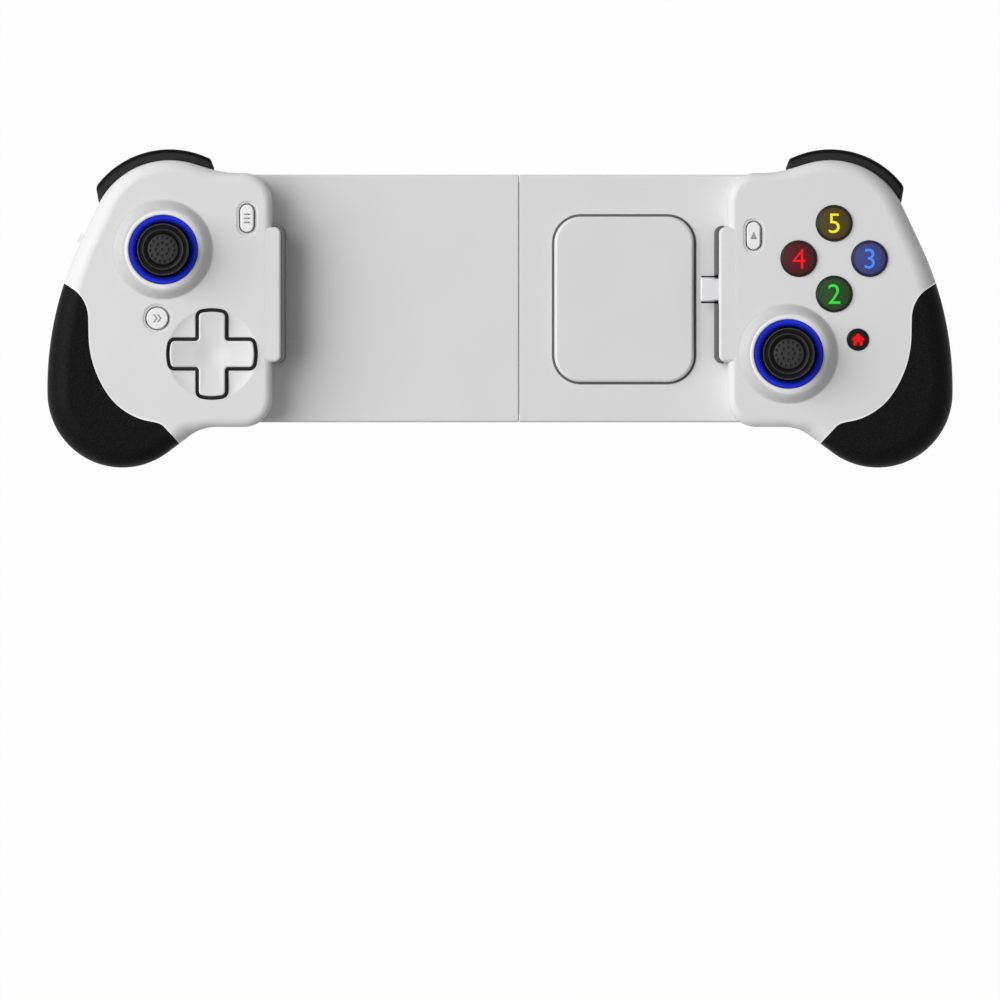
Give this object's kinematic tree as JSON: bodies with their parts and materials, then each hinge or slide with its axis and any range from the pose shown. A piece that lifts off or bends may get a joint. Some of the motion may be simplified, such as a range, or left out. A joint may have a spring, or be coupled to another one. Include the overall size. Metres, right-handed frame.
{
  "type": "mobile game controller",
  "caption": "Telescopic phone gamepad: handles on a sprung sliding bridge clamp a phone; tilting sticks, cross pad, press buttons, bumpers, triggers, USB-C plug.",
  "frame": {"origin": "middle of the closed controller's outline, on the table under the palm grips", "axes": "+X toward the right handle with the face buttons, +Y toward the shoulder buttons, +Z out of the face"},
  "size_m": [0.2718, 0.0957, 0.0449],
  "materials": {
    "shell_white": "fine satin",
    "plate_white": "satin",
    "tray_grey": "satin",
    "grip_black": "finely textured",
    "cushion_rubber": "matt",
    "contact_rubber": "matt",
    "black_plastic": "satin",
    "stick_rubber": "matt",
    "gloss_black": "polished",
    "steel": "plain",
    "board_green": "lacquered",
    "cable_black": "flat",
    "light_blue": "clear, lit from behind",
    "button_yellow": "smoked, lit mark",
    "button_blue": "smoked, lit mark",
    "button_green": "smoked, lit mark",
    "button_red": "smoked, lit mark"
  },
  "bodies": {
    "right_half": {"right_front_shell": "shell_white", "right_rear_shell": "shell_white", "right_grip": "grip_black", "right_jaw_cushion": "cushion_rubber", "right_bridge_plate": "plate_white", "right_bridge_back": "plate_white", "phone_pad": "plate_white", "slide_tray": "tray_grey", "usb_plug": "steel", "usb_plug_core": "black_plastic", "usb_board": "board_green", "right_board": "board_green", "right_stick_housing": "steel", "right_light_ring": "light_blue", "face_membrane": "contact_rubber", "right_switches": "steel", "right_screws": "steel", "spring_spool": "black_plastic", "return_spring": "steel", "ribbon_cable": "cable_black", "right_trigger_pin": "steel"},
    "left_half": {"left_front_shell": "shell_white", "left_rear_shell": "shell_white", "left_grip": "grip_black", "left_jaw_cushion": "cushion_rubber", "left_bridge_plate": "plate_white", "left_bridge_back": "plate_white", "stop_screws": "steel", "left_board": "board_green", "left_stick_housing": "steel", "left_light_ring": "light_blue", "cross_membrane": "contact_rubber", "left_switches": "steel", "left_screws": "steel", "left_trigger_pin": "steel"},
    "right_yoke": {"right_stick_yoke": "black_plastic"},
    "right_hub": {"right_stick_hub": "black_plastic"},
    "right_stick": {"right_stick_shaft": "stick_rubber", "right_stick_cap": "stick_rubber"},
    "left_yoke": {"left_stick_yoke": "black_plastic"},
    "left_hub": {"left_stick_hub": "black_plastic"},
    "left_stick": {"left_stick_shaft": "stick_rubber", "left_stick_cap": "stick_rubber"},
    "cross_pivot": {"cross_pivot": "steel"},
    "cross_pad": {"cross_pad": "shell_white"},
    "top_button": {"face_button_top": "button_yellow"},
    "outer_button": {"face_button_right": "button_blue"},
    "bottom_button": {"face_button_bottom": "button_green"},
    "inner_button": {"face_button_left": "button_red"},
    "start_button": {"start_button": "shell_white"},
    "home_button": {"home_button": "gloss_black"},
    "select_button": {"select_button": "shell_white"},
    "turbo_button": {"turbo_button": "shell_white"},
    "right_bumper": {"right_bumper": "black_plastic"},
    "left_bumper": {"left_bumper": "black_plastic"},
    "right_trigger": {"right_trigger": "black_plastic", "right_trigger_spring": "steel"},
    "left_trigger": {"left_trigger": "black_plastic", "left_trigger_spring": "steel"},
    "side_switch": {"side_switch": "shell_white"}
  },
  "joints": [
    {"name": "phone_slide", "type": "slide", "parent": "right_half", "child": "left_half", "axis": [-1, 0, 0], "range_m": [0, 0.05], "stiffness_N_per_m": 40, "springref_m": -0.1, "deforming": ["return_spring", "ribbon_cable"]},
    {"name": "right_stick_tilt_y", "type": "hinge", "parent": "right_half", "child": "right_yoke", "pos_m": [0.0866, -0.0136, 0.0275], "axis": [1, 0, 0], "range_deg": [-14, 14], "stiffness_Nm_per_rad": 0.02},
    {"name": "right_stick_tilt_x", "type": "hinge", "parent": "right_yoke", "child": "right_hub", "pos_m": [0.0866, -0.0136, 0.0275], "axis": [0, 1, 0], "range_deg": [-14, 14], "stiffness_Nm_per_rad": 0.02},
    {"name": "right_stick_click", "type": "slide", "parent": "right_hub", "child": "right_stick", "axis": [0, 0, -1], "range_m": [0, 0.0005], "stiffness_N_per_m": 2000},
    {"name": "left_stick_tilt_y", "type": "hinge", "parent": "left_half", "child": "left_yoke", "pos_m": [-0.101, 0.0177, 0.0275], "axis": [1, 0, 0], "range_deg": [-14, 14], "stiffness_Nm_per_rad": 0.02},
    {"name": "left_stick_tilt_x", "type": "hinge", "parent": "left_yoke", "child": "left_hub", "pos_m": [-0.101, 0.0177, 0.0275], "axis": [0, 1, 0], "range_deg": [-14, 14], "stiffness_Nm_per_rad": 0.02},
    {"name": "left_stick_click", "type": "slide", "parent": "left_hub", "child": "left_stick", "axis": [0, 0, -1], "range_m": [0, 0.0005], "stiffness_N_per_m": 2000},
    {"name": "cross_tilt_y", "type": "hinge", "parent": "left_half", "child": "cross_pivot", "pos_m": [-0.0864, -0.0136, 0.026], "axis": [1, 0, 0], "range_deg": [-4, 4], "stiffness_Nm_per_rad": 0.1},
    {"name": "cross_tilt_x", "type": "hinge", "parent": "cross_pivot", "child": "cross_pad", "pos_m": [-0.0864, -0.0136, 0.026], "axis": [0, 1, 0], "range_deg": [-4, 4], "stiffness_Nm_per_rad": 0.1},
    {"name": "top_button_press", "type": "slide", "parent": "right_half", "child": "top_button", "axis": [0, 0, -1], "range_m": [0, 0.0015], "stiffness_N_per_m": 400},
    {"name": "outer_button_press", "type": "slide", "parent": "right_half", "child": "outer_button", "axis": [0, 0, -1], "range_m": [0, 0.0015], "stiffness_N_per_m": 400},
    {"name": "bottom_button_press", "type": "slide", "parent": "right_half", "child": "bottom_button", "axis": [0, 0, -1], "range_m": [0, 0.0015], "stiffness_N_per_m": 400},
    {"name": "inner_button_press", "type": "slide", "parent": "right_half", "child": "inner_button", "axis": [0, 0, -1], "range_m": [0, 0.0015], "stiffness_N_per_m": 400},
    {"name": "start_button_press", "type": "slide", "parent": "right_half", "child": "start_button", "axis": [0, 0, -1], "range_m": [0, 0.0006], "stiffness_N_per_m": 1500},
    {"name": "home_button_press", "type": "slide", "parent": "right_half", "child": "home_button", "axis": [0, 0, -1], "range_m": [0, 0.0006], "stiffness_N_per_m": 1500},
    {"name": "select_button_press", "type": "slide", "parent": "left_half", "child": "select_button", "axis": [0, 0, -1], "range_m": [0, 0.0006], "stiffness_N_per_m": 1500},
    {"name": "turbo_button_press", "type": "slide", "parent": "left_half", "child": "turbo_button", "axis": [0, 0, -1], "range_m": [0, 0.0006], "stiffness_N_per_m": 1500},
    {"name": "right_bumper_press", "type": "hinge", "parent": "right_half", "child": "right_bumper", "pos_m": [0.08936, 0.03974, 0.0245], "axis": [0, 0, -1], "range_deg": [0, 3], "stiffness_Nm_per_rad": 0.2},
    {"name": "left_bumper_press", "type": "hinge", "parent": "left_half", "child": "left_bumper", "pos_m": [-0.08936, 0.03974, 0.0245], "axis": [0, 0, 1], "range_deg": [0, 3], "stiffness_Nm_per_rad": 0.2},
    {"name": "right_trigger_pull", "type": "hinge", "parent": "right_half", "child": "right_trigger", "pos_m": [0.09912, 0.03858, 0.017], "axis": [-1, 0, 0], "range_deg": [0, 12], "stiffness_Nm_per_rad": 0.05},
    {"name": "left_trigger_pull", "type": "hinge", "parent": "left_half", "child": "left_trigger", "pos_m": [-0.09912, 0.03858, 0.017], "axis": [-1, 0, 0], "range_deg": [0, 12], "stiffness_Nm_per_rad": 0.05},
    {"name": "side_switch_slide", "type": "slide", "parent": "left_half", "child": "side_switch", "axis": [0.4226, 0.9063, 0], "range_m": [0, 0.002]}
  ]
}
